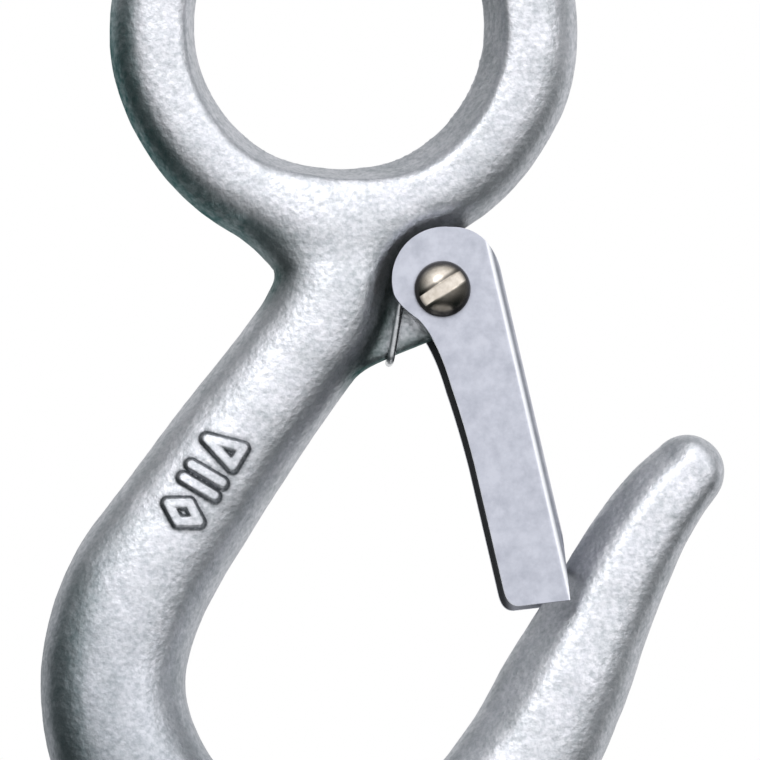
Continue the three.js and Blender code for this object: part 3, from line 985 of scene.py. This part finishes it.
class Material(Nodes):
    """A material made of one shader. Places in it are those of the object at rest, in metres."""

    def __init__(self, name):
        self.material = bpy.data.materials.new(name)
        self.material.use_nodes = True
        super().__init__(self.material.node_tree)
        self.shader = self.tree.nodes["Principled BSDF"]
        self.place = self.add("ShaderNodeTexCoord").outputs["Object"]

    def set(self, **inputs):
        for key, value in inputs.items():
            self.put(value, self.shader.inputs[key.replace("_", " ")])

    def noise(self, size, detail=3.0, rough=0.55):
        """Noise with features of about that size."""
        inputs = {"Vector": self.place, "Scale": 1 / size, "Detail": detail, "Roughness": rough}
        return self.add("ShaderNodeTexNoise", inputs).outputs["Fac"]

    def cells(self, size):
        """Rounded dimples of about that size."""
        inputs = {"Vector": self.place, "Scale": 1 / size, "Smoothness": 0.5}
        return self.add("ShaderNodeTexVoronoi", inputs, feature="SMOOTH_F1").outputs["Distance"]

    def between(self, value, start, end, kind="SMOOTHSTEP"):
        """0 at start, 1 at end."""
        inputs = {"Value": value, "From Min": start, "From Max": end}
        return self.add("ShaderNodeMapRange", inputs, interpolation_type=kind).outputs["Result"]

    def within(self, axis, half, blur=0.1 * MM):
        """1 where a coordinate lies nearer to 0 than half, 0 outside."""
        parts = self.add("ShaderNodeSeparateXYZ", {"Vector": self.place})
        size = self.calculate("ABSOLUTE", parts.outputs[axis])
        return self.between(size, half + blur, half, "LINEAR")

    def fade(self, along, start, end, origin=(0, 0, 0)):
        """0 at start, 1 at end, along a direction from origin."""
        away = self.vector("SUBTRACT", self.place, origin)[0]
        return self.between(self.vector("DOT_PRODUCT", away, along)["Value"], start, end)

    def beyond(self, inner, outer, origin):
        """0 within a radius round the Y axis through origin, 1 outside a larger one."""
        away = self.vector("SUBTRACT", self.place, origin)[0]
        flat = self.vector("MULTIPLY", away, (1, 0, 1))[0]
        return self.between(self.vector("LENGTH", flat)["Value"], inner, outer)

    def attribute(self, name):
        return self.add("ShaderNodeAttribute", attribute_name=name).outputs["Fac"]

    def bump(self, height, distance, strength=1.0, under=None):
        inputs = {"Height": height, "Distance": distance, "Strength": strength}
        if under:
            inputs["Normal"] = under
        return self.add("ShaderNodeBump", inputs).outputs["Normal"]


def give(objects, material):
    for obj in objects:
        obj.data.materials.clear()
        obj.data.materials.append(material)


def galvanised():
    """Hot-dip zinc over a shot-blasted forging: pale, softly mottled, with a fine sandy grain and
    painted shade.
    """
    n = Material("galvanised_forging")
    patches = n.noise(4.5 * MM, 4, 0.6)
    clouds = n.noise(1.2 * MM, 3, 0.6)
    speckle = n.noise(0.6 * MM, 4, 0.65)
    grain = n.noise(0.3 * MM, 2, 0.6)

    pale = n.ramp(patches, [(0.35, (0.61, 0.62, 0.65)), (0.65, (0.725, 0.725, 0.765))])
    mottle = n.ramp(clouds, [(0.35, (0.86, 0.87, 0.88)), (0.62, (1, 1, 1))])
    dust = n.ramp(speckle, [(0.3, (0.80, 0.83, 0.82)), (0.6, (1, 1, 1))])
    zinc = n.blend(1.0, n.blend(1.0, pale, mottle, "MULTIPLY"), dust, "MULTIPLY")

    # painted shade: the zinc darkens towards the lower left, standing in for light falling off from
    # the upper right
    low = n.fade((-0.6, 0, -0.8), 54 * MM, 98 * MM)
    # painted shade: the eye's lower left and the bowl's back turn dark green-grey, the sides away from
    # the light
    dark = n.times(n.attribute("painted_side_shade"), n.ramp(clouds, [(0.3, 1.0), (0.7, 0.6)]))
    # painted shade: the lug's edges and the corner beside it go dark green-black, standing in for the
    # latch's shadow
    painted_lug_shade = n.times(n.attribute("painted_lug_shade"), n.ramp(clouds, [(0.3, 1.0), (0.7, 0.75)]))
    # painted shade: a dark line in the crease round each raised mark, standing in for the shadow at
    # its foot
    crease = n.times(n.attribute("crease"), n.ramp(speckle, [(0.35, 1.0), (0.62, 0.7)]))
    colour = n.blend(low, zinc, (0.64, 0.665, 0.68, 1), "MULTIPLY")
    colour = n.blend(dark, colour, (0.26, 0.40, 0.385, 1), "MULTIPLY")
    colour = n.blend(painted_lug_shade, colour, (0.065, 0.095, 0.09, 1))
    colour = n.blend(crease, colour, (0.10, 0.11, 0.12, 1))
    # painted shade also darkens the edge reflection's tint where the sides and the lug are painted
    # dark
    painted_shade_share = n.calculate("MAXIMUM", dark, painted_lug_shade)
    rim = n.blend(painted_shade_share, (0.6, 0.6, 0.6, 1), (0.22, 0.31, 0.30, 1))
    rough = n.ramp(speckle, [(0.3, 0.47), (0.7, 0.33)])

    hammered = n.bump(n.noise(2.6 * MM, 2, 0.5), 0.12 * MM, 0.6)
    dimpled = n.bump(n.cells(0.75 * MM), 0.055 * MM, 0.8, hammered)
    fine = n.bump(grain, 0.045 * MM, 0.8, dimpled)
    n.set(Base_Color=colour, Specular_Tint=rim, Metallic=1.0, Roughness=rough, Normal=fine)
    return n.material


def zinc_sheet():
    """Bright zinc on rolled sheet: smooth, satin, faintly clouded, with a painted highlight along the
    outer fold and painted shade inside.
    """
    n = Material("zinc_plated_sheet")
    clouds = n.noise(2.4 * MM, 5, 0.65)
    specks = n.noise(0.4 * MM, 3, 0.6)
    sheet = n.ramp(clouds, [(0.34, (0.385, 0.40, 0.455)), (0.62, (0.495, 0.51, 0.57))])

    across = (math.cos(LATCH_TILT), 0, math.sin(LATCH_TILT))
    fold = WEB_OUTER - FOLD_OUTER
    # painted highlight: a pale band round the outer fold, where the fold's curve reflects the light
    fold_highlight_in = n.fade(across, fold + 0.25 * MM, fold + 0.5 * MM, PIVOT)
    fold_highlight_out = n.fade(across, fold + 0.95 * MM, fold + 0.75 * MM, PIVOT)
    outside = n.blend(n.times(fold_highlight_in, fold_highlight_out), sheet, (0.70, 0.71, 0.74, 1))

    # painted shade: the channel's inside goes dark grey, near black towards the flanges' open edge,
    # where it shades itself
    deep = n.fade(across, -0.6 * MM, 0.7 * MM, PIVOT)
    inside = n.blend(deep, (0.05, 0.053, 0.056, 1), (0.36, 0.37, 0.41, 1))
    colour = n.blend(n.within("Y", LATCH_HALF - SHEET), outside, inside)
    rough = n.ramp(specks, [(0.3, 0.42), (0.7, 0.33)])
    wavy = n.bump(n.noise(2.5 * MM, 2, 0.5), 0.03 * MM, 0.5)
    fine = n.bump(specks, 0.012 * MM, 0.5, wavy)
    n.set(Base_Color=colour, Metallic=1.0, Roughness=rough, Normal=fine)
    return n.material


def nickel():
    """Glossy, slightly warm nickel, with painted dark reflections and shade round the slot and a
    painted shadow round the rim.
    """
    n = Material("nickel_plated_screw")
    clouds = n.noise(0.9 * MM, 3, 0.6)
    clean = n.ramp(clouds, [(0.3, (0.52, 0.465, 0.40)), (0.7, (0.69, 0.635, 0.56))])

    # painted reflection and shade: the dome goes dark below the slot, where it mirrors dark
    # surroundings, and at the slot's upper lip
    across = (-math.sin(SLOT_TILT), 0, math.cos(SLOT_TILT))
    wall = SLOT_WIDTH / 2
    lower = n.fade(across, -wall - 0.05 * MM, -wall - 0.3 * MM, PIVOT)
    lip_in = n.fade(across, wall, wall + 0.1 * MM, PIVOT)
    lip_out = n.fade(across, wall + 0.7 * MM, wall + 0.2 * MM, PIVOT)
    head = n.fade((0, 1, 0), -MM, -2 * MM)
    round_slot = n.calculate("MAXIMUM", lower, n.times(lip_in, lip_out))
    slot_painted_shade = n.times(head, round_slot)
    shaded = n.blend(slot_painted_shade, clean, (0.27, 0.27, 0.27, 1), "MULTIPLY")
    # painted shadow: a near-black ring round the head's rim, standing in for the shadow under the head
    rim = n.times(head, n.beyond(2.5 * MM, 3.2 * MM, PIVOT))
    colour = n.blend(rim, shaded, (0.08, 0.075, 0.07, 1))

    rough = n.ramp(clouds, [(0.3, 0.28), (0.7, 0.18)])
    marks = n.bump(n.noise(0.35 * MM, 2, 0.5), 0.015 * MM, 0.5)
    n.set(Base_Color=colour, Metallic=1.0, Roughness=rough, Normal=marks)
    return n.material


def plated_nut():
    """Bright zinc, faintly clouded."""
    n = Material("plated_nut")
    clouds = n.noise(1.2 * MM, 3, 0.6)
    colour = n.ramp(clouds, [(0.3, (0.56, 0.57, 0.58)), (0.7, (0.70, 0.71, 0.72))])
    rough = n.ramp(clouds, [(0.3, 0.38), (0.7, 0.26)])
    marks = n.bump(n.noise(0.3 * MM, 2, 0.5), 0.012 * MM, 0.5)
    n.set(Base_Color=colour, Metallic=1.0, Roughness=rough, Normal=marks)
    return n.material


def nylon():
    """Natural nylon, whitish and satin."""
    n = Material("nylon_insert")
    clouds = n.noise(0.8 * MM, 2, 0.5)
    colour = n.ramp(clouds, [(0.3, (0.72, 0.75, 0.77)), (0.7, (0.84, 0.87, 0.88))])
    n.set(Base_Color=colour, Roughness=0.45, Normal=n.bump(clouds, 0.01 * MM, 0.5))
    return n.material


def spring_wire():
    """Drawn wire, a little darker than the sheet."""
    n = Material("spring_wire")
    clouds = n.noise(0.7 * MM, 3, 0.6)
    colour = n.ramp(clouds, [(0.3, (0.32, 0.33, 0.34)), (0.7, (0.50, 0.51, 0.52))])
    rough = n.ramp(clouds, [(0.3, 0.36), (0.7, 0.24)])
    n.set(Base_Color=colour, Metallic=1.0, Roughness=rough, Normal=n.bump(clouds, 0.008 * MM, 0.5))
    return n.material


# ---- studio --------------------------------------------------------------------------------------

VIEW_AZIMUTH = math.radians(-2.5)
VIEW_ELEVATION = math.radians(-3.6)
VIEW_CENTRE = Vector((4.55, 0, -43.7)) * MM
VIEW_WIDTH = 95 * MM
LENS = 600
SENSOR = 36
FLOOR_DROP = 1.0
FLOOR_RADIUS = 0.6
FLOOR_SIDES = 64
KEY_PLACE = Vector((-0.10, -0.38, 0.24))
KEY_SIZE = 0.3
KEY_POWER = 0.35


def direction(azimuth, elevation):
    """The way that a viewer at this azimuth and elevation lies, in radians. Azimuth 0 is in front."""
    flat = math.cos(elevation)
    return Vector((math.sin(azimuth) * flat, -math.cos(azimuth) * flat, math.sin(elevation)))


def make_camera():
    data = bpy.data.cameras.new("camera")
    data.lens = LENS
    data.sensor_width = SENSOR
    data.clip_start = 0.01
    data.clip_end = 100
    camera = bpy.data.objects.new("camera", data)
    bpy.context.scene.collection.objects.link(camera)
    back = direction(VIEW_AZIMUTH, VIEW_ELEVATION)
    camera.location = VIEW_CENTRE + back * VIEW_WIDTH * LENS / SENSOR
    camera.rotation_euler = (-back).to_track_quat("-Z", "Y").to_euler()
    bpy.context.scene.camera = camera


def make_floor():
    circle = arc((0, 0), FLOOR_RADIUS, 0, 360, FLOOR_SIDES)[:-1]
    height = HOOK_LOW.z - FLOOR_DROP
    floor = new_object("floor", [(x, y, height) for x, y in circle], [range(FLOOR_SIDES)])
    n = Material("floor")
    colour = n.ramp(n.noise(0.3), [(0.3, 0.82), (0.7, 0.86)])
    n.set(Base_Color=colour, Roughness=0.8, Emission_Color=(1, 1, 1, 1), Emission_Strength=0.4)
    give([floor], n.material)


def make_key_light():
    data = bpy.data.lights.new("key", "AREA")
    data.shape = "DISK"
    data.size = KEY_SIZE
    data.energy = KEY_POWER
    light = bpy.data.objects.new("key", data)
    bpy.context.scene.collection.objects.link(light)
    light.location = KEY_PLACE
    light.rotation_euler = (VIEW_CENTRE - KEY_PLACE).to_track_quat("-Z", "Y").to_euler()


def make_world():
    """A white studio, which the camera itself sees as plain white.

    It has one broad soft light before the hook with a window beside it, dim sides that are darkest at
    lower left, and a paler far wall that gives round metal its outline."""
    world = bpy.data.worlds.new("studio")
    bpy.context.scene.world = world
    world.use_nodes = True
    n = Nodes(world.node_tree)
    way = n.add("ShaderNodeTexCoord").outputs["Generated"]

    def glow(azimuth, elevation, stops):
        """Light by the angle from one direction. Stops are (degrees away, brightness)."""
        centre = direction(math.radians(azimuth), math.radians(elevation))
        angle = n.calculate("ARCCOSINE", n.vector("DOT_PRODUCT", way, centre)["Value"])
        share = n.calculate("DIVIDE", angle, math.pi)
        return n.ramp(share, [(degrees / 180, colour) for degrees, colour in stops])

    front = glow(4, 24, [(0, (1.22, 1.21, 1.23)), (30, (1.16, 1.15, 1.17)), (48, (0.86, 0.86, 0.87)),
                         (62, 0.42), (74, 0.12), (88, 0.005), (150, 0.10)])
    rear = glow(168, 0, [(0, 0.95), (35, (0.75, 0.75, 0.76)), (60, (0.42, 0.43, 0.43)), (72, 0.06),
                         (82, 0)])
    sides = glow(-60, -70, [(0, (0.004, 0.012, 0.012)), (66, (0.014, 0.026, 0.026)),
                            (82, (0.09, 0.10, 0.103)), (105, (0.31, 0.32, 0.325)),
                            (180, (0.38, 0.39, 0.40))])
    window = glow(40, 10, [(0, 0.7), (9, 0.6), (18, 0.1), (24, 0)])

    light = front
    for more in (rear, sides, window):
        light = n.blend(1.0, light, more, "ADD")
    seen = n.add("ShaderNodeLightPath").outputs["Is Camera Ray"]
    n.put(n.blend(seen, light, (1, 1, 1, 1)), n.tree.nodes["Background"].inputs["Color"])


# ---- assembly ------------------------------------------------------------------------------------

make_camera()
make_world()
make_floor()
make_key_light()
bpy.context.scene.view_settings.view_transform = "Standard"

give([make_forging()], galvanised())
give([make_latch()], zinc_sheet())
give([make_screw()], nickel())
give([make_nut()], plated_nut())
give([make_insert()], nylon())
give(make_spring(), spring_wire())
